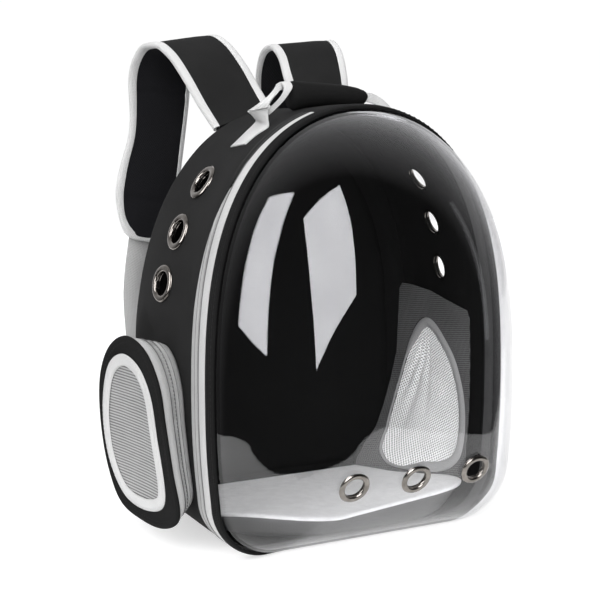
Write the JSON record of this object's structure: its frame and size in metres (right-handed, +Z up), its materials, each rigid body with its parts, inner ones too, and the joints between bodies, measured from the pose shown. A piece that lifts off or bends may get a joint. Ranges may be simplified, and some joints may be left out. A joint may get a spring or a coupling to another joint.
{
  "type": "pet carrier backpack",
  "caption": "Soft arched backpack for carrying a small pet, with a clear zipped dome front, zipped mesh side pockets, metal vent eyelets, a top handle and padded shoulder straps.",
  "frame": {"origin": "on the floor under the middle of the object's bounding box", "axes": "+Z up; +X across the bag; the dome faces -Y and the wearer's back is at +Y"},
  "size_m": [0.4164, 0.4298, 0.5039],
  "materials": {
    "black_fabric": "matt woven nylon",
    "dark_mesh": "matt spacer mesh",
    "grey_webbing": "matt woven tape",
    "netting": "fine open net",
    "mat_cloth": "short pile",
    "zip_coil": "moulded coil",
    "black_plastic": "satin",
    "white_trim": "satin",
    "nickel": "plated, bright",
    "clear_plastic": "clear moulded sheet"
  },
  "bodies": {
    "root": {"body_wall": "black_fabric", "back_panel": "black_fabric", "dome_binding": "black_fabric", "zip_hinge": "black_fabric", "handle_grip": "black_fabric", "floor_mat": "mat_cloth", "dome": "clear_plastic", "zip_tape_dome": "grey_webbing", "zip_tape_body": "grey_webbing", "zip_coil": "zip_coil", "dome_eyelet_left": "nickel", "dome_eyelet_middle": "nickel", "dome_eyelet_right": "nickel", "side_eyelet_top_left": "nickel", "side_eyelet_top_right": "nickel", "side_eyelet_middle_left": "nickel", "side_eyelet_middle_right": "nickel", "side_eyelet_bottom_left": "nickel", "side_eyelet_bottom_right": "nickel", "pocket_tape_inner_left": "grey_webbing", "pocket_tape_inner_right": "grey_webbing", "pocket_tape_outer_left": "grey_webbing", "pocket_tape_outer_right": "grey_webbing", "pocket_trim_left": "grey_webbing", "pocket_trim_right": "grey_webbing", "handle_webbing_left": "grey_webbing", "handle_webbing_right": "grey_webbing", "strap_binding_left": "grey_webbing", "strap_binding_right": "grey_webbing", "strap_webbing_left": "grey_webbing", "strap_webbing_right": "grey_webbing", "pocket_zip_left": "zip_coil", "pocket_zip_right": "zip_coil", "pocket_door_left": "black_fabric", "pocket_door_right": "black_fabric", "pocket_frame_left": "white_trim", "pocket_frame_right": "white_trim", "pocket_mesh_left": "netting", "pocket_mesh_right": "netting", "pocket_screen_left": "netting", "pocket_screen_right": "netting", "pocket_lining_left": "dark_mesh", "pocket_lining_right": "dark_mesh", "strap_pad_left": "dark_mesh", "strap_pad_right": "dark_mesh", "pocket_pull_left": "black_plastic", "pocket_pull_right": "black_plastic", "strap_slider_left": "black_plastic", "strap_slider_right": "black_plastic"}
  },
  "joints": []
}
